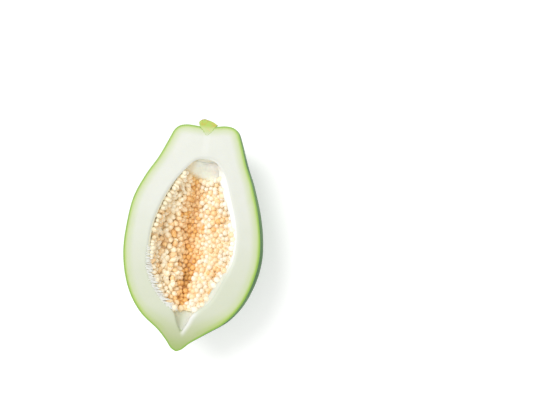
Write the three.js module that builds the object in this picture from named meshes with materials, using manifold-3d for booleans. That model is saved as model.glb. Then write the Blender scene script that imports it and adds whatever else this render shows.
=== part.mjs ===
// Half of a green papaya, cut lengthwise and lying on its back with the cut face up.
// Lengths are in millimetres. +X runs across the cut face, +Y along the fruit towards the stem, +Z up.
// The half is drawn with its cut face at height 0 and the middle of the fruit at y 0.
// At the end it is moved so that the origin lies under the middle of its box, on what it rests on.

import * as THREE from "three";
import { mergeVertices } from "three/addons/utils/BufferGeometryUtils.js";
import Module from "manifold-3d";

const wasm = await Module();
wasm.setup();

// Driving dimensions of the whole fruit
const FRUIT_HALF_WIDTH = 60.9;
const FRUIT_HALF_LENGTH = 100;
const CUT_ABOVE_AXIS = 6; // the knife passed this far above the middle, so this half is the fuller one
const RIDGES = 5; // a papaya grows from five carpels
const RIDGE_SHARE = 0.018; // how far the five faint ridges stand out, as a share of the radius
const GROOVE_TURN = 0.26; // the lowest furrow lies this far, in radians, to the -X side of straight down
const REST_DEPTH = 1.3; // how much of the round back is flattened where it rests

// Half widths of the cut face, from the dip under the stem, over the shoulder, to the blossom tip
const FRUIT_OUTLINE = [
  [0, 98.2], [9, 99.2], [17, 100], [24, 98.8], [28.6, 94.8], [31.8, 87.5],
  [39.5, 68], [48.6, 49.5], [57, 25], [FRUIT_HALF_WIDTH, -6], [58.5, -30],
  [50.6, -52.5], [38, -70], [21.2, -82.6], [10.6, -91.4], [4.8, -97.6], [0, -FRUIT_HALF_LENGTH],
];

// Half widths of the seed cavity, from its round top to the narrow slit at its foot
const CAVITY_HALF_WIDTH = 38.8;
const CAVITY_OUTLINE = [
  [0, 69.6], [7.5, 68.6], [13.8, 63.8], [20.3, 55], [27.2, 41.5], [33.8, 24.5],
  [38, 8], [CAVITY_HALF_WIDTH, -9], [37, -25], [30.4, -42], [21.6, -55.5],
  [11.6, -63.6], [7.2, -69], [4.4, -75.5], [0, -82.6],
];
const CAVITY_STAR_SHARE = 0.055; // how far the five furrows between the seed beds run out

// Seed bed: the soft lining that carries the seeds
const BED_GAP = 0.5;
const BED_THICKNESS = 2.2;
const BED_SWELL = 4.6; // how much thicker the lining is on the two seed ridges
const BED_TOP_Y = 52;
const BED_FOOT_Y = -65;
const BED_BELOW_CUT = 4;
const BED_TAPER = 16; // stretch at either end over which the lining thins out
const BED_END_SHARE = 0.4; // share of its thickness that is left at the ends
const SEED_WIDTH = 7.4;
const SEED_LENGTH = 8;
const SEED_PITCH = 7.6;
const ROW_SHARE = 0.92; // rows stand this share of the pitch apart
const SEED_SUNK = 0.22; // share of a seed's length that is sunk in the lining
const SEED_LEAN = 0.2; // largest random lean, in radians
const SEED_SCATTER = 0.14; // largest random shift along and across a row, as a share of the pitch
const SEED_SPREAD = 0.08; // largest random change of size, as a share
const SEED_BELOW_CUT = 2;

// Stub of the stalk, cut through with the fruit
const STUB_OUTLINE = [
  [0, 91], [3, 94], [6.2, 98.2], [8, 100.6], [7.8, 102.6], [5.7, 104.8], [2.6, 105.9], [0, 105.5],
];
const STUB_X = 0.9;
const STUB_SLOPE = 0.16; // the stub's top falls away to one side
const STUB_GAP = 0.3;

const POINT_TURN = -Math.atan(1 / ((1 + Math.sqrt(5)) / 2)); // stands an icosahedron on a corner

// Fineness of the facets
const FRUIT_STATIONS = 38;
const FRUIT_SIDES = 56;
const CAVITY_STATIONS = 20; // shared by the cavity and its lining, so that their facets lie alongside
const CAVITY_SIDES = 28;
const STUB_STATIONS = 12;
const STUB_SIDES = 20;
const ROOM = 400; // larger than the fruit, for cutting away one side

const COLOURS = { flesh: 0xe4ead0, seeds: 0xf3d9b0, stub: 0xb9c65a };

// Small helpers

// A stream of numbers from 0 to 1 that is the same on every run.
function seededNumbers(seed) {
  let state = seed;
  return () => {
    state = (state + 0x6d2b79f5) | 0;
    let mixed = Math.imul(state ^ (state >>> 15), 1 | state);
    mixed = (mixed + Math.imul(mixed ^ (mixed >>> 7), 61 | mixed)) ^ mixed;
    return ((mixed ^ (mixed >>> 14)) >>> 0) / 4294967296;
  };
}

// Points evenly spaced along a smooth line through an outline's corners.
function smoothOutline(corners, count) {
  const line = new THREE.SplineCurve(corners.map(([x, y]) => new THREE.Vector2(x, y)));
  const points = line.getSpacedPoints(count);
  points.forEach((p) => (p.x = Math.max(0, p.x)));
  points[0].x = 0;
  points[count].x = 0;
  return points;
}

// A manifold-3d solid of a closed geometry.
function solidOf(geometry) {
  const bare = new THREE.BufferGeometry();
  bare.setAttribute("position", geometry.getAttribute("position"));
  bare.setIndex(geometry.getIndex());
  const merged = mergeVertices(bare, 1e-3);
  const corners = merged.getIndex().array;
  const kept = [];
  for (let i = 0; i < corners.length; i += 3) {
    const [a, b, c] = corners.slice(i, i + 3);
    if (a !== b && b !== c && c !== a) kept.push(a, b, c);
  }
  const vertProperties = merged.getAttribute("position").array;
  const mesh = new wasm.Mesh({ numProp: 3, vertProperties, triVerts: new Uint32Array(kept) });
  return new wasm.Manifold(mesh);
}

function geometryOf(solid) {
  const { vertProperties, triVerts, numProp, numVert } = solid.getMesh();
  const positions = new Float32Array(numVert * 3);
  for (let i = 0; i < numVert; i++) {
    positions.set(vertProperties.subarray(i * numProp, i * numProp + 3), i * 3);
  }
  const geometry = new THREE.BufferGeometry();
  geometry.setAttribute("position", new THREE.BufferAttribute(positions, 3));
  geometry.setIndex(new THREE.BufferAttribute(triVerts, 1));
  geometry.computeVertexNormals();
  return geometry;
}

// A solid turned from a profile about Y, whose points are then placed by a function of radius, height
// and angle. The angle is 0 towards +X and a quarter turn straight down.
function turned(profile, sides, place) {
  const geometry = new THREE.LatheGeometry(profile, sides);
  const position = geometry.getAttribute("position");
  for (let i = 0; i < position.count; i++) {
    const [x, y, z] = [position.getX(i), position.getY(i), position.getZ(i)];
    const moved = place(Math.hypot(x, z), y, Math.atan2(-z, x));
    position.setXYZ(i, moved.x, moved.y, moved.z);
  }
  return solidOf(geometry);
}

// Everything above a height.
function slabAbove(height) {
  return solidOf(new THREE.BoxGeometry(ROOM, ROOM, ROOM).translate(0, 0, height + ROOM / 2));
}

// Shape of the fruit and of its cavity

const bell = (y, middle, spread) => Math.exp(-(((y - middle) / spread) ** 2));

// Sideways bow of the fruit's middle, and of the cavity's.
const fruitBow = (y) => -1.9 * bell(y, 34, 26) - 1.9 * THREE.MathUtils.smoothstep(-y, 82, 96);
const cavityBow = (y) => 2.8 * bell(y, 62, 16) - 2.4 * bell(y, -36, 16);

// 1 on the five ridges and -1 between them. The furrow at the back lies a little to one side of its middle.
function ridge(angle) {
  const fromMiddle = angle - Math.PI / 2 - GROOVE_TURN * Math.max(0, Math.sin(angle));
  return Math.cos(RIDGES * fromMiddle);
}

// The shoulder stands a little higher on the +X side.
const shoulderSlant = (x, y) => 0.045 * x * THREE.MathUtils.smoothstep(y, 55, 98);

// How far the fruit's own axis lies below the cut, where the fruit or cavity has a share of its full width.
const belowCut = (fullness) => CUT_ABOVE_AXIS * fullness * (2 - fullness);

// A point of a ridged body of half width w on the cut face, whose own axis lies below the cut.
function ridgedPoint(w, y, angle, widest, share, bow) {
  const fullness = w / widest;
  const below = belowCut(fullness);
  const reach = Math.hypot(w, below);
  const rimAngle = reach > 0 ? -Math.asin(below / reach) : 0;
  const relief = share * fullness;
  const radius = (reach * (1 + relief * ridge(angle))) / (1 + relief * ridge(rimAngle));
  const x = bow(y) + radius * Math.cos(angle);
  return new THREE.Vector3(x, y + shoulderSlant(x, y), -below - radius * Math.sin(angle));
}

const fruitPoint = (w, y, angle) =>
  ridgedPoint(w, y, angle, FRUIT_HALF_WIDTH, RIDGE_SHARE, fruitBow);
const cavityPoint = (w, y, angle) =>
  ridgedPoint(w, y, angle, CAVITY_HALF_WIDTH, CAVITY_STAR_SHARE, cavityBow);

// A point that lies inside the cavity wall by a depth, straight towards the cavity's own axis.
function insideCavity(w, y, angle, depth) {
  const wall = cavityPoint(w, y, angle);
  const axis = cavityPoint(0, y, angle);
  axis.z = -belowCut(w / CAVITY_HALF_WIDTH);
  const inward = axis.sub(wall);
  return wall.addScaledVector(inward, Math.min(1, depth / Math.max(inward.length(), 1e-6)));
}

// The lining is thickest on the ridges that carry the seeds, between the cavity's furrows, and thins out
// at its ends.
function bedThickness(angle, y) {
  const fromEnd = Math.min(BED_TOP_Y - y, y - BED_FOOT_Y);
  const share = THREE.MathUtils.lerp(BED_END_SHARE, 1, THREE.MathUtils.smoothstep(fromEnd, 0, BED_TAPER));
  return share * (BED_THICKNESS + (BED_SWELL * (1 - ridge(angle))) / 2);
}

// Sub-parts

function stubSolid(grow) {
  return turned(smoothOutline(STUB_OUTLINE, STUB_STATIONS), STUB_SIDES, (r, y, angle) => {
    const lump = 1 + 0.07 * Math.cos(3 * angle + 0.6 * y) + 0.05 * Math.cos(7 * angle - y);
    const radius = r * lump + (r > 0 ? grow : 0);
    const x = STUB_X + radius * Math.cos(angle);
    const above = Math.max(0, y - 100);
    const lift = r > 0 ? 0 : grow * Math.sign(y - 98);
    return new THREE.Vector3(x, y + lift - STUB_SLOPE * (x + 4) * (above / 6), -radius * Math.sin(angle));
  });
}

function fleshSolid() {
  const fruit = turned(smoothOutline(FRUIT_OUTLINE, FRUIT_STATIONS).reverse(), FRUIT_SIDES, fruitPoint);
  const cavity = turned(smoothOutline(CAVITY_OUTLINE, CAVITY_STATIONS).reverse(), CAVITY_SIDES, cavityPoint);
  const lowest = fruit.boundingBox().min[2];
  const ground = slabAbove(lowest + REST_DEPTH - ROOM);
  return fruit.subtract(slabAbove(0)).subtract(cavity).subtract(ground).subtract(stubSolid(STUB_GAP));
}

// The space inside the cavity, shrunk by a depth that may change with the angle and along the fruit.
const shrunkCavity = (depth) =>
  turned(smoothOutline(CAVITY_OUTLINE, CAVITY_STATIONS).reverse(), CAVITY_SIDES, (w, y, angle) =>
    insideCavity(w, y, angle, depth(angle, y)));

// A lining of the seeded stretch of the cavity, open upwards.
function bedSolid() {
  const back = shrunkCavity(() => BED_GAP);
  const face = shrunkCavity((angle, y) => BED_GAP + bedThickness(angle, y));
  const middle = (BED_TOP_Y + BED_FOOT_Y) / 2;
  const stretch = solidOf(new THREE.BoxGeometry(ROOM, BED_TOP_Y - BED_FOOT_Y, ROOM).translate(0, middle, 0));
  return back.subtract(face).intersect(stretch).subtract(slabAbove(-BED_BELOW_CUT));
}

// Where each seed stands on the lining, and which way it points. The rows follow the cavity's outline.
// Every second row is shifted by half a pitch.
function seedPlaces() {
  const random = seededNumbers(7);
  const even = (spread) => (random() - 0.5) * 2 * spread;
  const line = new THREE.SplineCurve(CAVITY_OUTLINE.map(([x, y]) => new THREE.Vector2(x, y)));
  const rows = line.getSpacedPoints(Math.round(line.getLength() / (SEED_PITCH * ROW_SHARE)));
  const onBed = (p, angle, shift = 0) =>
    insideCavity(p.x, p.y + shift, angle, BED_GAP + bedThickness(angle, p.y));
  const places = [];
  rows.forEach((p, row) => {
    if (p.y > BED_TOP_Y - SEED_WIDTH / 2 || p.y < BED_FOOT_Y + SEED_WIDTH / 2) return;
    const across = onBed(p, 0).distanceTo(onBed(p, Math.PI)) / 2;
    const axisDepth = belowCut(p.x / CAVITY_HALF_WIDTH);
    const first = Math.asin((SEED_BELOW_CUT + SEED_WIDTH / 2 - axisDepth) / across);
    const turn = Math.PI - 2 * first;
    const gaps = Math.max(1, Math.round((turn * (across - SEED_LENGTH / 2)) / SEED_PITCH));
    const shift = row % 2 ? 0.5 : 0;
    for (let k = shift; k <= gaps; k++) {
      const angle = first + (turn * (k + even(SEED_SCATTER) * (k > 0 && k < gaps))) / gaps;
      const at = onBed(p, angle, even(SEED_SCATTER) * SEED_PITCH);
      const along = onBed(rows[row + 1], angle).sub(onBed(rows[row - 1], angle));
      const round = onBed(p, angle + 0.02).sub(onBed(p, angle - 0.02));
      const inward = round.cross(along).normalize();
      inward.add(new THREE.Vector3(even(SEED_LEAN), even(SEED_LEAN), even(SEED_LEAN)).setZ(0)).normalize();
      places.push({ at, inward, size: 1 + even(SEED_SPREAD) });
    }
  });
  return places;
}

function seedSolid({ at, inward, size }) {
  const geometry = new THREE.IcosahedronGeometry(1, 0).rotateZ(POINT_TURN);
  const half = (SEED_LENGTH / 2) * size;
  geometry.scale((SEED_WIDTH / 2) * size, half, (SEED_WIDTH / 2) * size);
  geometry.translate(0, half * (1 - 2 * SEED_SUNK), 0);
  const turn = new THREE.Quaternion().setFromUnitVectors(new THREE.Vector3(0, 1, 0), inward);
  geometry.applyQuaternion(turn);
  geometry.translate(at.x, at.y, at.z);
  return solidOf(geometry);
}

// The lining with its seeds, whose roots are trimmed where they would come out behind it.
function seededBedSolid() {
  const seeds = wasm.Manifold.union(seedPlaces().map(seedSolid));
  return bedSolid().add(seeds.intersect(shrunkCavity(() => BED_GAP)));
}

// The object

function meshOf(name, solid, color, roughness) {
  const material = new THREE.MeshStandardMaterial({ color, roughness, metalness: 0 });
  const mesh = new THREE.Mesh(geometryOf(solid), material);
  mesh.name = name;
  return mesh;
}

const half = new THREE.Group();
half.add(meshOf("flesh_and_skin", fleshSolid(), COLOURS.flesh, 0.5));
half.add(meshOf("seed_bed", seededBedSolid(), COLOURS.seeds, 0.35));
half.add(meshOf("stalk_stub", stubSolid(0).subtract(slabAbove(0)), COLOURS.stub, 0.6));

const box = new THREE.Box3().setFromObject(half);
half.position.set(-(box.min.x + box.max.x) / 2, -(box.min.y + box.max.y) / 2, -box.min.z);

export default half;
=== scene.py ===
"""Half a green papaya, cut lengthwise: fine flesh, skin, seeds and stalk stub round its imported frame."""
import math
import random

import bmesh
import bpy
from mathutils import Matrix, Vector, kdtree, noise


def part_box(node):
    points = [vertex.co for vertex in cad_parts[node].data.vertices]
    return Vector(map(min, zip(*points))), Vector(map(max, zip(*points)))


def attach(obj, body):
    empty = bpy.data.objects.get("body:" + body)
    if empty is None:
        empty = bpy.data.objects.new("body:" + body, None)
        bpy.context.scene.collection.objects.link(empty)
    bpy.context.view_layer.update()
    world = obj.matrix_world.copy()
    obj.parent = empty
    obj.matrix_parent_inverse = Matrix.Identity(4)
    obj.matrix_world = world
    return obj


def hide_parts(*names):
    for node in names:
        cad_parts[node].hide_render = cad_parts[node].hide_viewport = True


bl_info = {
    "name": "Papaya half",
    "version": (1, 0, 0),
    "blender": (4, 5, 0),
    "location": "View3D > Sidebar > Papaya",
    "description": "Builds the flesh, skin, seeds and stalk stub of a green papaya cut lengthwise",
    "category": "Add Mesh",
}

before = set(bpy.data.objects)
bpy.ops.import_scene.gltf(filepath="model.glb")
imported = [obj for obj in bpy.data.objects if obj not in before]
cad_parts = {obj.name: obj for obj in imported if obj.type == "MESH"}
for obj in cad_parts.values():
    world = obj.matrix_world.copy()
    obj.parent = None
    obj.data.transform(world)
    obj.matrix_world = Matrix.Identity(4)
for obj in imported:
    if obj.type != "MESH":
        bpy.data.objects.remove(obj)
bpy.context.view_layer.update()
FLESH_LOW, FLESH_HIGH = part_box("flesh_and_skin")

# The fruit is drawn in millimetres: the cut face at z 0, the middle of the fruit at y 0, the tip at y -100.
MM = 0.001
HALF_LENGTH = 100
AXIS_X = 0.00024  # the fruit's axis lies this far from the middle of the frame
ORIGIN = Vector((AXIS_X, FLESH_LOW.y + HALF_LENGTH * MM, FLESH_HIGH.z))

# Half widths of the cut face and of the hollow in it, from the stalk to the tip
FRUIT_HALF_WIDTH = 60.9
FRUIT_OUTLINE = (
    (0, 98.2), (9, 99.2), (17, 100), (24, 98.8), (28.6, 94.8), (31.8, 87.5), (39.5, 68), (48.6, 49.5),
    (57, 25), (FRUIT_HALF_WIDTH, -6), (58.5, -30), (50.6, -52.5), (38, -70), (21.2, -82.6), (10.6, -91.4),
    (4.8, -97.6), (0, -HALF_LENGTH),
)
CAVITY_HALF_WIDTH = 38.8
CAVITY_OUTLINE = (
    (0, 69.6), (7.5, 68.6), (13.8, 63.8), (20.3, 55), (27.2, 41.5), (33.8, 24.5), (38, 8),
    (CAVITY_HALF_WIDTH, -9), (37, -25), (30.4, -42), (21.6, -55.5), (11.6, -63.6), (7.2, -69), (4.4, -75.5),
    (0, -82.6),
)
CUT_ABOVE_AXIS = 6  # the knife passed this far above the fruit's axis
CARPELS = 5
RIDGE_SHARE = 0.018  # how far the fruit's ridges stand proud, as a share of its radius
STAR_SHARE = 0.055  # the same for the hollow, whose section is a soft star
GROOVE_TURN = 0.26  # the lowest furrow lies this far, in radians, to the -X side of straight down

# Lining of the hollow
BED_TOP_Y = 52  # the seeds end about here
BED_FOOT_Y = -65
LINING_TOP_Y = 68.4
BED_GAP = 0.5  # between the hollow's wall and the back of the lining
BED_THICKNESS = 2.2
BED_SWELL = 4.6  # how much thicker the lining is on its banks
BED_TAPER = 16  # how far from either end it starts to thin
BED_END_SHARE = 0.4
BAND_WIDTH = 4.2  # extra width of the bare white band along the upper right edge

# Stub of the stalk
STUB_OUTLINE = (
    (0, 91), (3, 94), (6.2, 98.2), (8, 100.6), (7.8, 102.6), (5.7, 104.8), (2.6, 105.9), (0, 105.5),
)
STUB_X = 0.9
STUB_SLOPE = 0.26  # how much lower its top is on the +X side


def linear(red, green, blue):
    """A colour as it looks on a screen, from 0 to 255, turned into the shader's linear light."""
    def channel(value):
        share = value / 255
        return share / 12.92 if share <= 0.04045 else ((share + 0.055) / 1.055) ** 2.4
    return channel(red), channel(green), channel(blue)


# Settings

class PapayaFlesh(bpy.types.PropertyGroup):
    """Flesh and skin"""
    rounding: bpy.props.FloatProperty(
        name="Rim rounding", description="How far the cut edge of the hollow is rounded down",
        default=0.0006, min=0, unit="LENGTH")
    flesh: bpy.props.FloatVectorProperty(
        name="Flesh", description="Colour of the cut flesh round the hollow", subtype="COLOR",
        default=linear(204, 206, 196))
    under_skin: bpy.props.FloatVectorProperty(
        name="Under the skin", description="Colour of the thin line that the skin leaves on the cut",
        subtype="COLOR", default=linear(120, 162, 36))
    skin: bpy.props.FloatVectorProperty(
        name="Skin", description="Main colour of the skin", subtype="COLOR",
        default=linear(52, 102, 32))


class PapayaSeeds(bpy.types.PropertyGroup):
    """Seeds and their lining"""
    width: bpy.props.FloatProperty(
        name="Seed width", description="Width of a seed",
        default=0.0056, min=0.001, unit="LENGTH")
    length: bpy.props.FloatProperty(
        name="Seed length", description="Length of a seed, from its root to its round end",
        default=0.0078, min=0.001, unit="LENGTH")
    spacing: bpy.props.FloatProperty(
        name="Seed spacing", description="Smallest distance between the middles of two seeds",
        default=0.0042, min=0.001, unit="LENGTH")
    pale: bpy.props.FloatVectorProperty(
        name="Pale seed", description="Colour of the seeds on the banks", subtype="COLOR",
        default=linear(255, 247, 232))
    # The groove's orange is partly the seeds' tone and partly painted light scattered and shaded deep in the
    # furrow.
    warm: bpy.props.FloatVectorProperty(
        name="Warm seed", description="Colour of the seeds deep in the groove", subtype="COLOR",
        default=linear(243, 193, 117))


class PapayaStage(bpy.types.PropertyGroup):
    """Camera, floor and light"""
    lens: bpy.props.FloatProperty(
        name="Lens", description="Focal length of the camera, in millimetres",
        default=60, min=10)
    distance: bpy.props.FloatProperty(
        name="Distance", description="From the camera to the middle of the cut face",
        default=0.8028, unit="LENGTH")
    azimuth: bpy.props.FloatProperty(
        name="Azimuth", description="How far the camera stands to the right of straight above",
        default=math.radians(12), subtype="ANGLE")
    elevation: bpy.props.FloatProperty(
        name="Elevation", description="How far the camera stands towards the stalk from straight above",
        default=math.radians(-2), subtype="ANGLE")
    roll: bpy.props.FloatProperty(
        name="Roll", description="How far the camera is turned about its own line of sight",
        default=math.radians(7.23), subtype="ANGLE")
    key: bpy.props.FloatProperty(
        name="Key light", description="Power of the large soft light at the upper left",
        default=38, unit="POWER")
    sky: bpy.props.FloatProperty(
        name="Surrounding light", description="Strength of the even light from all round",
        default=0.645)


# Shape of the fruit

def smoothstep(value, low, high):
    """0 below the low value and 1 above the high one, with a smooth way between."""
    share = min(1, max(0, (value - low) / (high - low)))
    return share * share * (3 - 2 * share)


def bell(value, middle, spread):
    """1 in the middle, falling away smoothly to both sides."""
    return math.exp(-(((value - middle) / spread) ** 2))


def fruit_bow(y):
    """Sideways bow of the fruit's middle."""
    return -1.9 * bell(y, 34, 26) - 1.9 * smoothstep(-y, 82, 96)


def cavity_bow(y):
    """Sideways bow of the hollow's middle."""
    return 2.8 * bell(y, 62, 16) - 2.4 * bell(y, -36, 16)


def ridge(angle):
    """1 on the five ridges and -1 between them."""
    from_middle = angle - math.pi / 2 - GROOVE_TURN * max(0, math.sin(angle))
    return math.cos(CARPELS * from_middle)


def shoulder_slant(x, y):
    """How much further up the shoulder reaches on the +X side."""
    return 0.045 * x * smoothstep(y, 55, 98)


def below_cut(fullness):
    """How far the fruit's own axis lies below the cut."""
    return CUT_ABOVE_AXIS * fullness * (2 - fullness)


def ridged_point(w, y, turn, widest, share, bow):
    """A point of a ridged half body. The turn is 0 at the cut on the +X side and 1 on the -X side."""
    fullness = w / widest
    below = below_cut(fullness)
    reach = math.hypot(w, below)
    rim = -math.asin(below / reach) if reach > 0 else 0
    angle = rim + (math.pi - 2 * rim) * turn
    relief = share * fullness
    radius = reach * (1 + relief * ridge(angle)) / (1 + relief * ridge(rim))
    x = bow(y) + radius * math.cos(angle)
    return Vector((x, y + shoulder_slant(x, y), -below - radius * math.sin(angle)))


def fruit_point(w, y, turn):
    return ridged_point(w, y, turn, FRUIT_HALF_WIDTH, RIDGE_SHARE, fruit_bow)


def cavity_point(w, y, turn):
    return ridged_point(w, y, turn, CAVITY_HALF_WIDTH, STAR_SHARE, cavity_bow)


def inside_cavity(w, y, turn, depth):
    """A point inside the hollow's wall by a depth, straight towards the hollow's own axis."""
    wall = cavity_point(w, y, turn)
    axis = cavity_point(0, y, turn)
    axis.z = -below_cut(w / CAVITY_HALF_WIDTH)
    inward = axis - wall
    return wall + inward * min(1, depth / max(inward.length, 1e-6))


def bed_thickness(y, turn):
    """The lining is thickest on the banks beside the groove, and thin along the left edge of the cut."""
    from_end = min(BED_TOP_Y - y, y - BED_FOOT_Y)
    share = BED_END_SHARE + (1 - BED_END_SHARE) * smoothstep(from_end, 0, BED_TAPER)
    left_edge = smoothstep(turn, 0.8, 1) * smoothstep(y, -30, -8)
    right_edge = smoothstep(-turn, -0.2, -0.04)
    top_of_band = smoothstep(y, 20, 50) + 0.7 * smoothstep(y, 44, 58)
    bare_band = right_edge * (top_of_band + 0.35 * bell(y, -46, 12))
    thinned = 1 - 0.75 * left_edge - 0.6 * right_edge * bell(y, -8, 22)
    bed = share * (BED_THICKNESS + BED_SWELL * (1 - ridge(math.pi * turn)) / 2) * thinned
    return (bed + BAND_WIDTH * bare_band) * smoothstep(LINING_TOP_Y - y, -0.5, 6)


def on_bed(w, y, turn):
    return inside_cavity(w, y, turn, BED_GAP + bed_thickness(y, turn))


def smooth_outline(corners, count, steps=24):
    """Points evenly spaced along a smooth line through an outline's corners."""
    padded = (corners[0], *corners, corners[-1])
    dense = []
    for before, start, end, after in zip(padded, padded[1:], padded[2:], padded[3:]):
        p, a, b, q = (Vector(corner) for corner in (before, start, end, after))
        for step in range(steps):
            t = step / steps
            bend = (2 * p - 5 * a + 4 * b - q) * t * t + (3 * a - p - 3 * b + q) * t ** 3
            dense.append(a + ((b - p) * t + bend) / 2)
    dense.append(Vector(corners[-1]))
    lengths = [0]
    for a, b in zip(dense, dense[1:]):
        lengths.append(lengths[-1] + (b - a).length)
    points, k = [], 0
    for i in range(count + 1):
        wanted = lengths[-1] * i / count
        while k < len(dense) - 2 and lengths[k + 1] < wanted:
            k += 1
        share = (wanted - lengths[k]) / (lengths[k + 1] - lengths[k])
        point = dense[k].lerp(dense[k + 1], share)
        points.append((max(0, point.x), point.y))
    points[0] = (corners[0][0], points[0][1])
    points[-1] = (corners[-1][0], points[-1][1])
    return points


# Mesh helpers

APART = 100  # how far two bodies are set apart while their rims are joined
TOUCHING = 1e-4  # points closer than this are one
SHALLOWEST = 0.05  # seeds and threads stay this far under the cut
SHARP = math.radians(40)
SMOOTH = math.pi  # no edge is sharp


def rim_edges(verts):
    """The open edges of a body, each one once and in a fixed order."""
    return list(dict.fromkeys(e for v in verts for e in v.link_edges if e.is_boundary))


def half_turned(bm, profile, steps, place):
    """Spins a profile of half widths half a turn under the cut, then puts each point in its place."""
    line = [bm.verts.new((w, y, 0)) for w, y in profile]
    edges = [bm.edges.new(pair) for pair in zip(line, line[1:])]
    kept = set(bm.verts) - set(line)
    bmesh.ops.spin(
        bm, geom=line + edges, cent=(0, 0, 0), axis=(0, 1, 0), angle=math.pi, steps=steps,
        use_merge=False, use_duplicate=False)
    made = [v for v in bm.verts if v not in kept]
    for v in made:
        turn = math.atan2(max(0, -v.co.z), v.co.x) / math.pi
        v.co = place(math.hypot(v.co.x, v.co.z), v.co.y, turn)
    bmesh.ops.remove_doubles(bm, verts=made, dist=TOUCHING)
    return [v for v in bm.verts if v not in kept]


def join_rims(bm, outer, inner):
    """Joins the rims of two bodies with faces. The inner one is lowered meanwhile, so that they pair up."""
    edges = rim_edges(outer) + rim_edges(inner)
    bmesh.ops.translate(bm, vec=(0, 0, -APART), verts=inner)
    joined = bmesh.ops.bridge_loops(bm, edges=edges)
    bmesh.ops.translate(bm, vec=(0, 0, APART), verts=inner)
    return joined


def tree_of(points):
    """A search tree for the nearest of some points."""
    tree = kdtree.KDTree(len(points))
    for i, point in enumerate(points):
        tree.insert(point, i)
    tree.balance()
    return tree


def tree_of_rim(edges):
    return tree_of([v.co.copy() for v in {v for e in edges for v in e.verts}])


def to_frame(bm):
    """From the fruit's millimetres to metres in the shared frame, with nothing below where it rests."""
    for v in bm.verts:
        v.co = v.co * MM + ORIGIN
        v.co.z = max(0, v.co.z)


def keep_under_cut(bm):
    """Flattens what would stand out of the cut, as the knife did."""
    for v in bm.verts:
        v.co.z = min(v.co.z, -SHALLOWEST)


def finished(bm, name, materials, sharp=SHARP):
    """The finished object of a mesh, on the body, with its materials."""
    mesh = bpy.data.meshes.new(name)
    bm.to_mesh(mesh)
    bm.free()
    for material in materials:
        mesh.materials.append(material)
    mesh.shade_smooth()
    mesh.set_sharp_from_angle(angle=sharp)
    piece = bpy.data.objects.new(name, mesh)
    bpy.context.scene.collection.objects.link(piece)
    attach(piece, "root")
    return piece


def cut_away(piece, cutter):
    """Takes the cutter's shape out of a piece for good."""
    modifier = piece.modifiers.new("socket", "BOOLEAN")
    modifier.operation = "DIFFERENCE"
    modifier.solver = "MANIFOLD"
    modifier.object = cutter
    graph = bpy.context.evaluated_depsgraph_get()
    mesh = bpy.data.meshes.new_from_object(piece.evaluated_get(graph))
    piece.modifiers.clear()
    piece.data = mesh
    bpy.data.objects.remove(cutter)


# Shader helpers

class Socket:
    """A node's output that can be used in sums. Each sum adds a Math node."""

    def __init__(self, finish, output):
        self.finish = finish
        self.output = output

    def math(self, operation, *values):
        return self.finish.node("Math", {"operation": operation}, dict(enumerate(values)))

    def __add__(self, other):
        return self.math("ADD", self, other)

    def __radd__(self, other):
        return self.math("ADD", other, self)

    def __sub__(self, other):
        return self.math("SUBTRACT", self, other)

    def __rsub__(self, other):
        return self.math("SUBTRACT", other, self)

    def __mul__(self, other):
        return self.math("MULTIPLY", self, other)

    def __truediv__(self, other):
        return self.math("DIVIDE", self, other)


class Finish:
    """A material as it is put together."""

    def __init__(self, name):
        self.material = bpy.data.materials.new(name)
        self.material.use_nodes = True
        self.tree = self.material.node_tree
        self.shader = self.tree.nodes["Principled BSDF"]

    def node(self, kind, settings, inputs, output=0):
        """Adds a node with its settings and inputs, and gives one of its outputs."""
        node = self.tree.nodes.new("ShaderNode" + kind)
        for name, value in settings.items():
            setattr(node, name, value)
        for key, value in inputs.items():
            self.feed(node.inputs[key], value)
        return Socket(self, node.outputs[output])

    def feed(self, socket, value):
        """Links a varying value to a socket, or sets a constant on it."""
        if isinstance(value, Socket):
            self.tree.links.new(value.output, socket)
        elif socket.type == "RGBA":
            socket.default_value = (*value[:3], 1)
        else:
            socket.default_value = value

    def place(self):
        """The place on the object, which is its place in the shared frame."""
        return self.node("TexCoord", {}, {}, "Object")

    def along(self, axis):
        """The place along X, Y or Z, in millimetres of the fruit's own drawing."""
        value = self.node("SeparateXYZ", {}, {0: self.place()}, axis)
        return (value - ORIGIN["XYZ".index(axis)]) * (1 / MM)

    def stretched(self, x, y, z):
        """The place with each axis scaled, for noise that runs along the fruit."""
        return self.node("Mapping", {}, {0: self.place(), 3: (x, y, z)})

    def attribute(self, name):
        return self.node("Attribute", {"attribute_name": name}, {}, "Fac")

    def noise(self, size, detail=3, rough=0.55, vector=None):
        """Noise from 0 to 1 whose lumps are about a size in millimetres."""
        inputs = {
            "Vector": vector or self.place(), "Scale": 1 / (size * MM), "Detail": detail, "Roughness": rough}
        return self.node("TexNoise", {}, inputs, 0)

    def spots(self, size):
        """Distance from the nearest of points scattered about a size in millimetres apart."""
        return self.node("TexVoronoi", {}, {"Vector": self.place(), "Scale": 1 / (size * MM)}, 0)

    def step(self, value, low, high):
        """0 below the low value and 1 above the high one, with a smooth way between."""
        settings = {"interpolation_type": "SMOOTHSTEP"}
        return self.node("MapRange", settings, {0: value, 1: low, 2: high, 3: 0.0, 4: 1.0})

    def mix(self, share, first, second):
        """The first colour where the share is 0, and the second one where it is 1."""
        return self.node("Mix", {"data_type": "RGBA"}, {0: share, 6: first, 7: second}, 2)

    def bump(self, height, depth):
        """A bump whose height of 1 stands a depth in millimetres proud."""
        return self.node("Bump", {}, {"Height": height, "Distance": depth * MM, "Strength": 1})

    def done(self, **inputs):
        """Feeds the surface's inputs, named with _ for each space, and gives the material."""
        for name, value in inputs.items():
            self.feed(self.shader.inputs[name.replace("_", " ")], value)
        return self.material


# Flesh and skin

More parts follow.
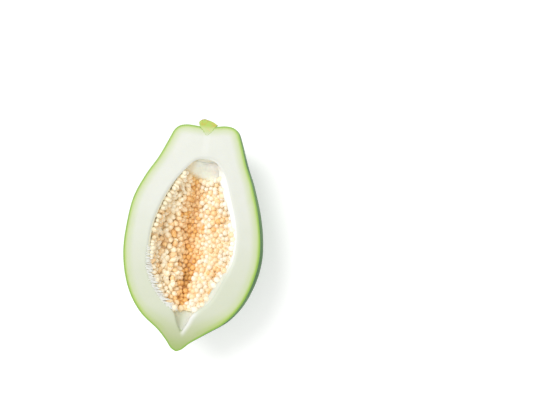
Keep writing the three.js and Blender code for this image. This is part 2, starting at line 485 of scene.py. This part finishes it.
FRUIT_STATIONS = 150
FRUIT_STEPS = 84
CAVITY_STEPS = 48
CUT_RINGS = 26
SKIN_RELIEF = 0.22
CUT_RELIEF = 0.05
RIM_WIDTH = 1.2  # how wide the rounding of the hollow's edge is on the left
RIM_WIDENING = 1.6  # how much wider it is on the right
FLESH_SHARP = math.radians(50)
STUB_VEIL = 8  # the flesh is green beside the stub as it is this deep under the skin
STUB_TO_HOLLOW = 20
SOCKET_TIGHTNESS = 0.1  # the stub's socket is smaller than the stub by this much, so that no gap shows
SOCKET_ABOVE = 2
FLESH_SLOT = 0
SKIN_SLOT = 1


def wall_colour_with_painted_shade(finish, x, y):
    """The hollow's bare wall: white at the upper right and tan elsewhere, the tan partly fibres and partly
    painted shade on the side turned from the light.
    """
    return finish.mix(finish.step(y * 0.45 - x, 34, 39), linear(240, 247, 236), linear(230, 223, 198))


def flesh_finish(colours):
    """Moist cut flesh: a thin green line at the skin that fades through yellow-green into white, with
    painted shade towards the tip and in the foot's pocket, and painted highlights on the hollow's rim.
    """
    finish = Finish("cut_flesh")
    x, y = finish.along("X"), finish.along("Y")
    patches = finish.noise(14, 2)
    ripple = finish.noise(3.5, 3)
    wide = 1 + finish.step(y * -1, 52, 96) * 1.2
    depth = finish.attribute("under_skin") / wide + (patches - 0.5) * 1.6
    # Painted shade: the flesh is painted darker towards the tip, away from the light.
    body = finish.mix(finish.step((patches - 0.5) * 30 - y, -48, 62), colours.flesh, linear(194, 199, 177))
    veil = finish.mix(finish.step(depth, 2.5, 10), linear(186, 196, 154), body)
    near = finish.mix(finish.step(depth, 0.8, 4), linear(164, 189, 88), veil)
    seam = (1 - finish.step((x - 1.2) * (x - 1.2), 0, 16)) * finish.step(y, 68, 80)
    lit = finish.mix(seam * 0.15, near, linear(224, 224, 220))
    # Greyer at the tip: partly the flesh's own tone there and partly painted shade.
    greyed = finish.mix(finish.step(y * -1, 60, 92) * 0.85, lit, linear(166, 174, 132))
    end = finish.mix(finish.step(y * -1, 84, 98) * 0.7, greyed, linear(142, 166, 84))
    tip = finish.mix(finish.step(finish.attribute("under_skin"), 0.4, 2.2), colours.under_skin, end)
    # Painted highlight: the hollow's rounded rim is painted paler on its right side, below the belly.
    rim = 1 - finish.step(finish.attribute("to_hollow"), 0.3, 3)
    painted_rim_highlight = rim * finish.step(x, -4, 10) * finish.step(y, -40, -5) * 0.4
    beside = finish.mix(painted_rim_highlight, tip, linear(232, 233, 226))
    pocket = 1 - finish.step(finish.attribute("to_hollow"), 0.6, 5.5)
    # Painted highlight: a pale ridge along the right side of the pocket at the tip.
    painted_ridge_highlight = pocket * finish.step(x, -1, 3) * finish.step(y * -1, 62, 68)
    ridge_highlighted = finish.mix(painted_ridge_highlight * 0.75, beside, linear(222, 222, 220))
    # Painted light and shade: the pocket's wall is painted darker on its left and paler on its right.
    pocket_wall_painted_light = finish.mix(finish.step(x, -4, 5), linear(197, 203, 178), linear(216, 217, 208))
    foot = finish.mix(finish.step(y * -1, 58, 72), wall_colour_with_painted_shade(finish, x, y), pocket_wall_painted_light)
    colour = finish.mix(finish.attribute("inside"), ridge_highlighted, foot)
    fibres = finish.noise(1.1, 2, vector=finish.stretched(1, 0.35, 1))
    height = ripple * 0.6 + fibres * 0.4
    return finish.done(
        Base_Color=colour, Roughness=0.34 + patches * 0.16, Normal=finish.bump(height, 0.16),
        Subsurface_Weight=0.12, Subsurface_Radius=(0.006, 0.005, 0.003), Subsurface_Scale=0.5,
        Coat_Weight=0.12, Coat_Roughness=0.22)


def skin_finish(colours):
    """Satin green skin with long pale streaks, fine specks and a faint bloom."""
    finish = Finish("green_skin")
    y = finish.along("Y")
    streaks = finish.noise(9, 4, vector=finish.stretched(1, 0.16, 1))
    cloud = finish.noise(34, 3)
    fresh = finish.mix(finish.step(streaks, 0.38, 0.68) * 0.55, colours.skin, linear(96, 142, 60))
    deep = finish.mix(finish.step(cloud, 0.45, 0.7) * 0.5, fresh, linear(36, 86, 32))
    neck = finish.mix(finish.step(y + (streaks - 0.5) * 16, 80, 102) * 0.42, deep, linear(140, 170, 80))
    tip = finish.mix(finish.step(y * -1, 80, 99) * 0.5, neck, linear(156, 178, 88))
    fleck = 1 - finish.step(finish.spots(2.6), 0.07, 0.16)
    specked = finish.mix(fleck * 0.5, tip, linear(184, 202, 138))
    scuff = finish.step(finish.noise(2.2, 5, 0.7), 0.66, 0.76) * finish.step(cloud, 0.5, 0.62)
    scuffed = finish.mix(scuff * 0.6, specked, linear(150, 142, 84))
    scar = finish.step(y * -1, 97.6, 99.6)
    colour = finish.mix(scar, scuffed, linear(112, 92, 52))
    height = finish.noise(0.9, 3) * 0.5 + finish.noise(5, 2) + fleck * 0.35
    return finish.done(
        Base_Color=colour, Roughness=0.42 + cloud * 0.2 + scuff * 0.2, Normal=finish.bump(height, 0.2),
        Specular_IOR_Level=0.25, Coat_Weight=0.04, Coat_Roughness=0.3)


def flesh_mesh(rounding):
    """The half fruit with its hollow: two half-turned bodies whose rims are joined by the cut face."""
    bm = bmesh.new()
    skin_depth = bm.verts.layers.float.new("under_skin")
    to_hollow = bm.verts.layers.float.new("to_hollow")
    inside = bm.verts.layers.float.new("inside")
    skin = half_turned(bm, smooth_outline(FRUIT_OUTLINE, FRUIT_STATIONS), FRUIT_STEPS, fruit_point)
    skin_rim = rim_edges(skin)
    rim_points = tree_of_rim(skin_rim)
    for v in skin:
        away = smoothstep(-v.co.z, 0, 6)
        v.co += v.co.normalized() * SKIN_RELIEF * away * noise.noise(v.co * 0.06)
    skin_faces = set(bm.faces)
    wall = half_turned(bm, smooth_outline(CAVITY_OUTLINE, FRUIT_STATIONS), CAVITY_STEPS, cavity_point)
    wall_rim = rim_edges(wall)
    hollow_points = tree_of_rim(wall_rim)
    for v in wall:
        v[inside] = smoothstep(-v.co.z, 0.2, 1.6)
    rims = {v for e in skin_rim + wall_rim for v in e.verts}
    cut = join_rims(bm, skin, wall)
    bmesh.ops.subdivide_edges(bm, edges=cut["edges"], cuts=CUT_RINGS, use_grid_fill=True)
    for f in bm.faces:
        f.material_index = SKIN_SLOT if f in skin_faces else FLESH_SLOT
    stub_line = smooth_outline(STUB_OUTLINE, STUB_STATIONS)
    stub_points = tree_of([stub_point(w, y, turn) for w, y in stub_line for turn in (0, 1)])
    for v in bm.verts:
        if v.co.z < -TOUCHING:
            continue
        v[skin_depth] = min(rim_points.find(v.co)[2], STUB_VEIL + stub_points.find(v.co)[2])
        v[to_hollow] = hollow_points.find(v.co)[2]
        at_skin = v in rims and v[skin_depth] <= 1
        if not at_skin:
            width = RIM_WIDTH + RIM_WIDENING * smoothstep(v.co.x, -12, 12)
            low_right = smoothstep(v.co.x, 0, 10) * smoothstep(-v.co.y, 5, 25)
            v.co.z -= rounding * (1 - smoothstep(v[to_hollow], 0, width)) * (1 - 0.5 * low_right)
            v.co.z -= CUT_RELIEF * (1 + noise.noise(v.co * 0.11)) * smoothstep(v[skin_depth], 0, 2)
    bmesh.ops.recalc_face_normals(bm, faces=bm.faces)
    to_frame(bm)
    return bm


class PAPAYA_OT_flesh(bpy.types.Operator):
    """Model the flesh and skin, which grow as one piece"""
    bl_idname = "papaya.flesh"
    bl_label = "Flesh and skin"

    def execute(self, context):
        settings = context.scene.papaya_flesh
        bm = flesh_mesh(settings.rounding / MM)
        materials = [flesh_finish(settings), skin_finish(settings)]
        piece = finished(bm, "papaya_flesh_and_skin", materials)
        cutter = finished(stub_mesh(grow=-SOCKET_TIGHTNESS, above=SOCKET_ABOVE), "stub_socket", [])
        cut_away(piece, cutter)
        piece.data.shade_smooth()
        piece.data.set_sharp_from_angle(angle=FLESH_SHARP)
        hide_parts("flesh_and_skin")
        return {"FINISHED"}


# Lining and seeds

BED_STATIONS = 90
BED_STEPS = 72
LINING_BACK_TOP = -0.7  # the back of the lining reaches no higher than this, so that the flesh hides it
LINING_RISE = 0.9  # the lining reaches this much higher than the seeds
LEFT_TURN = 0.9  # a turn on the left side, near the cut
LINING_RELIEF = 0.5
LINING_EDGE_RINGS = 5
TURN_HALVINGS = 18
RANDOM_SEED = 11
SEEDS_BELOW_CUT = 1.8
SEED_TRIES = 110000
CELL = 6  # side of the boxes in which near seeds are looked for
NEAR = (-1, 0, 1)
SEED_LEAN = 0.4
SEED_LIFT = -0.2
ROOT_NARROWING = 0.14
STRANDS = 84
STRAND_SIDES = 6
STRAND_INNER_RADIUS = 0.3


def bank_start(y, turn):
    """How far below the cut the seeds begin: close to it on the left and at the belly, deeper elsewhere."""
    if turn > 0.5:
        return SEEDS_BELOW_CUT + 2.2 * smoothstep(-y, 10, 30) + smoothstep(y, 38, 52)
    upper = SEEDS_BELOW_CUT + 1.9 * smoothstep(y, 14, 44) + 3 * smoothstep(y, 48, 62)
    return upper + 1.4 * smoothstep(-y, 12, 42)


def seeds_end(turn):
    """How far up the seeds reach: further at both sides than in the middle."""
    both_sides = BED_TOP_Y + 1.2 + 2.2 * smoothstep(abs(turn - 0.55), 0.1, 0.32)
    return both_sides + 2.5 * smoothstep(turn, 0.8, 0.95)


def left_bank(at):
    """1 on the bank of the hollow's left side."""
    return smoothstep(-at.x, 9, 20)


def turn_at_depth(w, y, depth, left):
    """The turn at which the lining lies a depth below the cut."""
    low, high = (0.5, 1.0) if left else (0.5, 0.0)
    for _ in range(TURN_HALVINGS):
        middle = (low + high) / 2
        if -on_bed(w, y, middle).z > depth:
            low = middle
        else:
            high = middle
    return low


def lining_mesh():
    """The soft lining, as a shell whose upper edge slopes from the cut down to where the seeds begin."""
    bm = bmesh.new()
    groove = bm.verts.layers.float.new("groove")
    hollow = smooth_outline(CAVITY_OUTLINE, 2 * BED_STATIONS)
    outline = [(w, y) for w, y in hollow if BED_FOOT_Y <= y <= LINING_TOP_Y]
    starts = {}
    for w, y in outline:
        depths = [bank_start(y, turn) - LINING_RISE for turn in (0, LEFT_TURN)]
        starts[round(y, 4)] = [turn_at_depth(w, y, depth, left) for left, depth in enumerate(depths)]

    def face(w, y, turn):
        right, left = starts[min(starts, key=lambda key: abs(key - y))]
        return on_bed(w, y, right + (left - right) * turn)

    def back(w, y, turn):
        edge = bell(turn, 0, 0.05) + bell(turn, 1, 0.05)
        point = inside_cavity(w, y, 0.004 + 0.992 * turn, BED_GAP * (0.6 - 1.2 * edge))
        point.z = min(point.z, LINING_BACK_TOP)
        return point

    front = half_turned(bm, outline, BED_STEPS, face)
    behind = half_turned(bm, outline, BED_STEPS, back)
    edge = join_rims(bm, behind, front)
    bmesh.ops.subdivide_edges(bm, edges=edge["edges"], cuts=LINING_EDGE_RINGS, use_grid_fill=True)
    for v in bm.verts:
        v[groove] = groove_share(v.co)
        if v.co.z < -1:
            v.co.z += LINING_RELIEF * noise.noise(v.co * 0.35)
    bmesh.ops.recalc_face_normals(bm, faces=bm.faces)
    to_frame(bm)
    return bm


def groove_share(at):
    """1 along the deep furrow of the hollow, 0 on its banks."""
    middle = -8.6 - 6 * bell(at.y, 10, 24)
    return bell(at.x, middle, 5 + 5.8 * bell(at.y, 4, 27)) * smoothstep(-at.z, 6, 18)


def strands_mesh():
    """The white threads that tie seeds to the rim, side by side along its lower left."""
    bm = bmesh.new()
    stream = random.Random(RANDOM_SEED)
    low_left = [(w, y) for w, y in smooth_outline(CAVITY_OUTLINE, 400) if -64 < y < -12]
    for i in range(STRANDS):
        w, y = low_left[int((i + stream.uniform(0.1, 0.9)) * len(low_left) / STRANDS)]
        rim = inside_cavity(w, y, 0.998, stream.uniform(-2.2, 0.2))
        rim.z = stream.uniform(-0.4, -0.15)
        inner = inside_cavity(w, y + stream.uniform(-1.6, 1.6), 0.94, stream.uniform(5.2, 7.6))
        inner.z = -stream.uniform(1.6, 3.2)
        along = inner - rim
        turn = along.to_track_quat("Z", "Y").to_matrix().to_4x4()
        bmesh.ops.create_cone(
            bm, segments=STRAND_SIDES, radius1=stream.uniform(0.36, 0.6), radius2=STRAND_INNER_RADIUS,
            depth=along.length, cap_ends=True, matrix=Matrix.Translation((rim + inner) / 2) @ turn)
    keep_under_cut(bm)
    to_frame(bm)
    return bm


def seed_size(at):
    """Seeds are larger on the left bank and at the foot than elsewhere."""
    outer = max(smoothstep(-at.x, 10, 24), 0.6 * smoothstep(-at.y, 24, 44))
    return 0.94 + 0.2 * outer


def seed_spots(stream, spacing):
    """Places on the lining no closer together than the spacing, thrown at random."""
    hollow = smooth_outline(CAVITY_OUTLINE, 500)
    outline = [(w, y) for w, y in hollow if BED_FOOT_Y + 1 < y < LINING_TOP_Y]
    cells = {}
    spots = []
    for _ in range(SEED_TRIES):
        w, y = outline[stream.randrange(len(outline))]
        turn = stream.random()
        at = on_bed(w, y, turn)
        if -at.z < bank_start(y, turn) + stream.uniform(-0.5, 1.3) or y > seeds_end(turn):
            continue
        apart = spacing * seed_size(at) * (1 - 0.2 * left_bank(at))
        cell = tuple(int(value // CELL) for value in at)
        around = [(cell[0] + i, cell[1] + j, cell[2] + k) for i in NEAR for j in NEAR for k in NEAR]
        if any((at - other).length < apart for key in around for other in cells.get(key, ())):
            continue
        cells.setdefault(cell, []).append(at)
        round_step = on_bed(w, y, turn + 0.004) - on_bed(w, y, turn - 0.004)
        along_step = on_bed(w, y + 0.4, turn) - on_bed(w, y - 0.4, turn)
        spots.append((at, along_step.cross(round_step).normalized()))
    return spots


def seed_template():
    """One seed of radius 1 along Z, narrower at its root."""
    bm = bmesh.new()
    bmesh.ops.create_uvsphere(bm, u_segments=8, v_segments=6, radius=1)
    for v in bm.verts:
        v.co.xy *= 1 + ROOT_NARROWING * v.co.z
    mesh = bpy.data.meshes.new("one_seed")
    bm.to_mesh(mesh)
    bm.free()
    return mesh


def seed_matrix(at, inward, groove, near_cut, stream, width, length):
    """Place, lean and size of a seed. Those on the left bank are slimmer and longer and lean further."""
    bank = left_bank(at)
    lean = SEED_LEAN * (1 - 0.5 * groove + 1.1 * bank) * (1 - 0.3 * near_cut)
    away = Vector([stream.uniform(-lean, lean) for _ in range(3)])
    away += Vector((0, -at.y / 90, 1.3 * near_cut))
    size = stream.uniform(0.84, 1.16) * seed_size(at) * (1 - 0.16 * bank * near_cut)
    narrow = size * stream.uniform(0.88, 1.04)
    slim = 1 - 0.14 * bank
    long = 1 - 0.2 * groove + 0.3 * bank * (1 - near_cut)
    scale = Matrix.Diagonal((
        width / 2 * size * slim, width / 2 * narrow * slim, length / 2 * size * long, 1))
    turn = (inward + away).to_track_quat("Z", "Y").to_matrix().to_4x4()
    spin = Matrix.Rotation(stream.uniform(0, math.pi), 4, "Z")
    lift = SEED_LIFT + 1.6 * near_cut + 0.9 * bank + stream.uniform(-0.7, 1.1) * (1 - 0.8 * groove)
    return Matrix.Translation(at + inward * lift) @ turn @ spin @ scale


def seeds_mesh(settings):
    """All the seeds, with each one's tones as attributes."""
    bm = bmesh.new()
    warmth = bm.verts.layers.float.new("warmth")
    root_tone_and_shade = bm.verts.layers.float.new("root_tone_and_shade")
    dulled = bm.verts.layers.float.new("dulled")
    shade = bm.verts.layers.float.new("shade")
    template = seed_template()
    roots = [(1 - v.co.z) / 2 for v in template.vertices]
    stream = random.Random(RANDOM_SEED + 1)
    width, length = settings.width / MM, settings.length / MM
    for at, inward in seed_spots(stream, settings.spacing / MM):
        groove = groove_share(at)
        near_cut = 1 - smoothstep(-at.z, 1.5, 6.5)
        matrix = seed_matrix(at, inward, groove, near_cut, stream, width, length)
        known = len(bm.verts)
        bm.from_mesh(template)
        bm.verts.ensure_lookup_table()
        made = bm.verts[known:]
        bmesh.ops.transform(bm, matrix=matrix, verts=made)
        tint, tone = seed_warmth(at, groove, stream), stream.random()
        for v, root in zip(made, roots):
            v[warmth] = tint
            # Each seed is warmer towards its root: partly its own orange base and partly painted warm shade
            # between the seeds.
            v[root_tone_and_shade] = root ** 1.4 * (1 - 0.6 * near_cut)
            v[dulled] = near_cut * smoothstep(-at.x, 2, 14)
            v[shade] = tone
    bpy.data.meshes.remove(template)
    keep_under_cut(bm)
    to_frame(bm)
    return bm


def seed_warmth(at, groove, stream):
    """Seeds are pale on the banks, with orange ones among them, and orange in the groove, partly painted
    scattered light and shade, darker lower down.
    """
    patch = smoothstep(noise.noise(at * 0.13 + Vector((3, 7, 1))), 0.1, 0.4)
    side_furrow = (
        bell(at.x, 14.5 - 0.12 * at.y, 3.4) * smoothstep(at.y, -38, -26) * smoothstep(-at.y, -38, -28))
    # Painted shade: down the groove the seeds are painted warmer and darker, and lighter at its top.
    low = 0.73 + 0.93 * smoothstep(-at.y, 8, 42) - 0.7 * smoothstep(-at.y, 42, 52)
    mixed = 0.5 * stream.random() ** 2 + 0.4 * patch * stream.random()
    mixed += side_furrow * (0.04 + 0.42 * stream.random())
    white_share = 0.68 + 0.25 * smoothstep(at.y, 18, 32)
    white_or_brown = 0.05 if stream.random() < white_share else 0.56
    mixed += (white_or_brown - mixed) * left_bank(at)
    return mixed + 0.85 * groove * low


def seed_finish(colours):
    """Wet unripe seeds, each in its own tone."""
    finish = Finish("wet_seeds")
    tone = finish.attribute("shade")
    tint = finish.attribute("warmth")
    warmth = tint + (tone - 0.5) * 0.16
    # Painted warm shade: pale seeds on the left bank, which is turned from the light, are painted warmer.
    bank = finish.step(finish.along("X") * -1, 8, 18)
    pale = finish.mix(bank, colours.pale, linear(255, 244, 218))
    dusky = finish.mix(finish.step(warmth, 0.0, 0.5), pale, linear(255, 226, 182))
    warmed = finish.mix(finish.step(warmth, 0.4, 1.0), dusky, colours.warm)
    # Painted shade: the warmest seeds, low in the groove, turn darker brown.
    groove_painted_shade = finish.mix(finish.step(warmth, 0.9, 1.5), warmed, linear(200, 152, 86))
    # Root colour: partly the seeds' orange bases and partly painted warm shade where the seeds crowd
    # together.
    root = finish.mix(finish.step(tint, 0.15, 0.9), linear(255, 228, 184), linear(228, 173, 102))
    colour = finish.mix(finish.attribute("root_tone_and_shade"), groove_painted_shade, root)
    matched = finish.mix(finish.attribute("dulled") * 0.7, colour, linear(222, 212, 180))
    vein = finish.noise(1.2, 3)
    mottled = finish.mix(finish.step(vein, 0.5, 0.75) * 0.25, matched, linear(246, 206, 146))
    return finish.done(
        Base_Color=mottled, Roughness=0.24 + tone * 0.14, Normal=finish.bump(finish.noise(1.6, 2), 0.12),
        Subsurface_Weight=0.2, Subsurface_Radius=(0.0021, 0.0018, 0.0015), Subsurface_Scale=0.9,
        Specular_IOR_Level=0.35, Coat_Weight=0.1, Coat_Roughness=0.16)


def lining_finish():
    """White at the cut, warm and tan where it shows between the seeds, partly painted warm shade in the
    gaps.
    """
    finish = Finish("seed_lining")
    depth = finish.along("Z") * -1
    spots = finish.noise(2.4, 3)
    x, y = finish.along("X"), finish.along("Y")
    # Painted light: the lining is painted paler on the right bank, which faces the light.
    bank = finish.mix(finish.step(x, -14, 4), linear(250, 220, 172), linear(255, 234, 196))
    # Painted shade: the groove's lining is painted darker lower down.
    groove = finish.mix(finish.step(y * -1, 8, 40), linear(255, 212, 148), linear(206, 152, 88))
    deep = finish.mix(finish.attribute("groove"), bank, groove)
    band = finish.mix(finish.step(y * -1, 8, 34), linear(236, 237, 230), linear(212, 213, 197))
    # Painted shade: on the left the lining's edge is painted darker, as shade between the white threads.
    edge = finish.mix(finish.step(x, 0, 10), linear(206, 202, 176), band)
    seeded = finish.mix(finish.step(depth + (spots - 0.5) * 5, 4.5, 10), edge, deep)
    bare = finish.mix(finish.step(x + y * 0.5, 32, 38), wall_colour_with_painted_shade(finish, x, y), linear(236, 237, 230))
    # Painted shadow: a tan shade at the foot of the bare niche, just above the seeds.
    niche_shadow_share = finish.step(y + (spots - 0.5) * 4, 47, 51) * finish.step(depth, 6, 10)
    niche_painted_shadow = finish.mix(niche_shadow_share, seeded, linear(222, 192, 138))
    colour = finish.mix(finish.step(y + x * 0.3 + (spots - 0.5) * 4, 51, 57), niche_painted_shadow, bare)
    return finish.done(
        Base_Color=colour, Roughness=0.42 + spots * 0.14, Normal=finish.bump(spots, 0.3),
        Subsurface_Weight=0.2, Subsurface_Radius=(0.004, 0.003, 0.002), Subsurface_Scale=0.5)


class PAPAYA_OT_lining(bpy.types.Operator):
    """Model the soft lining of the hollow and the white threads along its edge"""
    bl_idname = "papaya.lining"
    bl_label = "Seed lining"

    def execute(self, context):
        finished(lining_mesh(), "papaya_seed_lining", [lining_finish()], sharp=SMOOTH)
        white = Finish("white_threads").done(
            Base_Color=linear(240, 238, 228), Roughness=0.4, Subsurface_Weight=0.2)
        finished(strands_mesh(), "papaya_seed_threads", [white])
        return {"FINISHED"}


class PAPAYA_OT_seeds(bpy.types.Operator):
    """Scatter the seeds over the lining"""
    bl_idname = "papaya.seeds"
    bl_label = "Seeds"

    def execute(self, context):
        settings = context.scene.papaya_seeds
        material = seed_finish(settings)
        piece = finished(seeds_mesh(settings), "papaya_seeds", [material], sharp=SMOOTH)
        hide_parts("seed_bed")
        return {"FINISHED"}


# Stub of the stalk

STUB_STATIONS = 64
STUB_STEPS = 60
STUB_RELIEF = 0.5


def stub_point(w, y, turn, grow=0.0):
    """A point of the stub, on a lumpy round section."""
    angle = math.pi * turn
    lump = 1 + 0.07 * math.cos(3 * angle + 0.6 * y) + 0.05 * math.cos(7 * angle - y)
    radius = max(0, w * lump + grow)
    x = STUB_X + radius * math.cos(angle)
    slant = STUB_SLOPE * (x + 4) * max(0, y - HALF_LENGTH) / 6
    return Vector((x, y - slant, -radius * math.sin(angle)))


def stub_mesh(grow=0.0, above=0.0):
    """The stub, closed by its cut face. As a cutter it is a little smaller, and stands above the cut."""
    bm = bmesh.new()
    skin_depth = bm.verts.layers.float.new("under_skin")
    to_hollow = bm.verts.layers.float.new("to_hollow")
    outline = smooth_outline(STUB_OUTLINE, STUB_STATIONS)
    half_turned(bm, outline, STUB_STEPS, lambda w, y, turn: stub_point(w, y, turn, grow))
    rim = rim_edges(bm.verts)
    if above:
        raised = bmesh.ops.extrude_edge_only(bm, edges=rim)["geom"]
        top = [part for part in raised if isinstance(part, bmesh.types.BMVert)]
        bmesh.ops.translate(bm, vec=(0, 0, above), verts=top)
        rim = rim_edges(bm.verts)
    else:
        for v in bm.verts:
            out = smoothstep(v.co.y, 98, 101) * smoothstep(-v.co.z, 0, 1.5)
            outward = (v.co - Vector((STUB_X, HALF_LENGTH, 0))).normalized()
            v.co += outward * STUB_RELIEF * out * noise.noise(v.co * 0.8)
    bmesh.ops.holes_fill(bm, edges=rim, sides=0)
    bmesh.ops.triangulate(bm, faces=[f for f in bm.faces if len(f.verts) > 4])
    for v in bm.verts:
        v[skin_depth] = STUB_VEIL
        v[to_hollow] = STUB_TO_HOLLOW
    bmesh.ops.recalc_face_normals(bm, faces=bm.faces)
    to_frame(bm)
    return bm


def stub_finish():
    """Yellow-green stalk with olive patches, a corky brown edge and a few dried dots of sap."""
    finish = Finish("stalk_stub")
    y = finish.along("Y")
    patches = finish.noise(3.4, 4, 0.65)
    green = finish.mix(finish.step(patches, 0.45, 0.58), linear(166, 192, 84), linear(182, 176, 74))
    deep_wedge = finish.mix(finish.step(y, 90, 95.5), linear(201, 205, 188), linear(188, 201, 136))
    wedge = finish.mix(finish.step(y, 96, 100.5), deep_wedge, green)
    edge = finish.mix(finish.step(y + (patches - 0.5) * 5, 103.2, 105.4) * 0.8, wedge, linear(142, 122, 60))
    dots = 1 - finish.step(finish.spots(1.9), 0.1, 0.22)
    sap = finish.mix(dots * finish.step(finish.noise(6, 1), 0.5, 0.6), edge, linear(238, 168, 120))
    height = finish.noise(1.3, 4) + patches
    return finish.done(Base_Color=sap, Roughness=0.5 + patches * 0.2, Normal=finish.bump(height, 0.35))


class PAPAYA_OT_stub(bpy.types.Operator):
    """Model the stub of the stalk"""
    bl_idname = "papaya.stub"
    bl_label = "Stalk stub"

    def execute(self, context):
        piece = finished(stub_mesh(), "papaya_stalk_stub", [stub_finish()])
        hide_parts("stalk_stub")
        return {"FINISHED"}


# Stage

IMAGE_SIZE = (547, 410)  # the frame that the camera was fitted to
SENSOR = 36
TARGET_PIXEL = (192.5, 238.5)
TARGET = Vector((0, -1.02, 0))  # the point of the cut face that is seen at that pixel
FLOOR_SIZE = 16
FLOOR_GLOW = 0.3  # the floor glows a little, so that the shadow on it stays faint
KEY_PLACE = (-0.95, 0.75, 2.3)
KEY_SIZE = 1.6
FILL_PLACE = (1.1, -0.9, 2.2)
FILL_SIZE = 1.8
FILL_SHARE = 0.42


def camera_matrix(stage):
    """The camera looks down on the cut face, at the angle that the fitted outline gives."""
    right_of, towards = math.sin(stage.azimuth), math.cos(stage.azimuth)
    level_share = math.cos(stage.elevation)
    view = Vector((right_of * level_share, math.sin(stage.elevation), towards * level_share))
    x = Vector((0, 1, 0)).cross(view).normalized()
    y = view.cross(x)
    c, s = math.cos(stage.roll), math.sin(stage.roll)
    level = Matrix((c * x + s * y, c * y - s * x, view)).transposed()
    focal = stage.lens / SENSOR * IMAGE_SIZE[0]
    across, down = ((pixel - size / 2) / focal for pixel, size in zip(TARGET_PIXEL, IMAGE_SIZE))
    off_centre = Vector((across, -down, -1))
    turn = Vector((0, 0, -1)).rotation_difference(off_centre.normalized()).to_matrix()
    matrix = (level @ turn.transposed()).to_4x4()
    matrix.translation = TARGET * MM + ORIGIN + view * stage.distance
    return matrix


def add_light(name, place, size, power):
    """A round soft light that shines on the middle of the frame."""
    light = bpy.data.lights.new(name, "AREA")
    light.shape = "DISK"
    light.size = size
    light.energy = power
    lamp = bpy.data.objects.new(name, light)
    lamp.location = place
    lamp.rotation_euler = (-Vector(place)).to_track_quat("-Z", "Y").to_euler()
    bpy.context.scene.collection.objects.link(lamp)


class PAPAYA_OT_stage(bpy.types.Operator):
    """Make the floor, the lights and the camera"""
    bl_idname = "papaya.stage"
    bl_label = "Stage"

    def execute(self, context):
        stage = context.scene.papaya_stage
        bm = bmesh.new()
        bmesh.ops.create_grid(bm, x_segments=1, y_segments=1, size=FLOOR_SIZE / 2)
        mesh = bpy.data.meshes.new("floor")
        bm.to_mesh(mesh)
        bm.free()
        paper = Finish("pale_floor")
        mesh.materials.append(paper.done(
            Base_Color=(0.82, 0.82, 0.82), Roughness=0.9, Emission_Color=(1, 1, 1),
            Emission_Strength=FLOOR_GLOW))
        floor = bpy.data.objects.new("floor", mesh)
        context.scene.collection.objects.link(floor)
        add_light("key", KEY_PLACE, KEY_SIZE, stage.key)
        add_light("fill", FILL_PLACE, FILL_SIZE, stage.key * FILL_SHARE)
        world = bpy.data.worlds.new("even_light")
        world.use_nodes = True
        background = world.node_tree.nodes["Background"]
        background.inputs["Color"].default_value = (1, 1, 1, 1)
        background.inputs["Strength"].default_value = stage.sky
        context.scene.world = world
        context.scene.view_settings.view_transform = "Standard"
        data = bpy.data.cameras.new("camera")
        data.lens = stage.lens
        data.sensor_width = SENSOR
        camera = bpy.data.objects.new("camera", data)
        camera.matrix_world = camera_matrix(stage)
        context.scene.collection.objects.link(camera)
        context.scene.camera = camera
        return {"FINISHED"}


class PAPAYA_PT_panel(bpy.types.Panel):
    """The papaya's pieces, one button each"""
    bl_idname = "PAPAYA_PT_panel"
    bl_label = "Papaya half"
    bl_space_type = "VIEW_3D"
    bl_region_type = "UI"
    bl_category = "Papaya"

    def draw(self, context):
        for group, operators in GROUPS:
            box = self.layout.box()
            settings = getattr(context.scene, group)
            for name in settings.bl_rna.properties.keys():
                if name not in ("rna_type", "name"):
                    box.prop(settings, name)
            for operator in operators:
                box.operator(operator.bl_idname)


GROUPS = (
    ("papaya_flesh", (PAPAYA_OT_flesh, PAPAYA_OT_stub)),
    ("papaya_seeds", (PAPAYA_OT_lining, PAPAYA_OT_seeds)),
    ("papaya_stage", (PAPAYA_OT_stage,)),
)
SETTINGS = {"papaya_flesh": PapayaFlesh, "papaya_seeds": PapayaSeeds, "papaya_stage": PapayaStage}
CLASSES = (
    *SETTINGS.values(), PAPAYA_OT_flesh, PAPAYA_OT_lining, PAPAYA_OT_seeds, PAPAYA_OT_stub, PAPAYA_OT_stage,
    PAPAYA_PT_panel,
)


def register():
    for cls in CLASSES:
        bpy.utils.register_class(cls)
    for name, cls in SETTINGS.items():
        setattr(bpy.types.Scene, name, bpy.props.PointerProperty(type=cls))


def unregister():
    for name in SETTINGS:
        delattr(bpy.types.Scene, name)
    for cls in reversed(CLASSES):
        bpy.utils.unregister_class(cls)


def main():
    register()
    bpy.ops.papaya.flesh()
    bpy.ops.papaya.lining()
    bpy.ops.papaya.seeds()
    bpy.ops.papaya.stub()
    bpy.ops.papaya.stage()


if __name__ == "__main__":
    main()
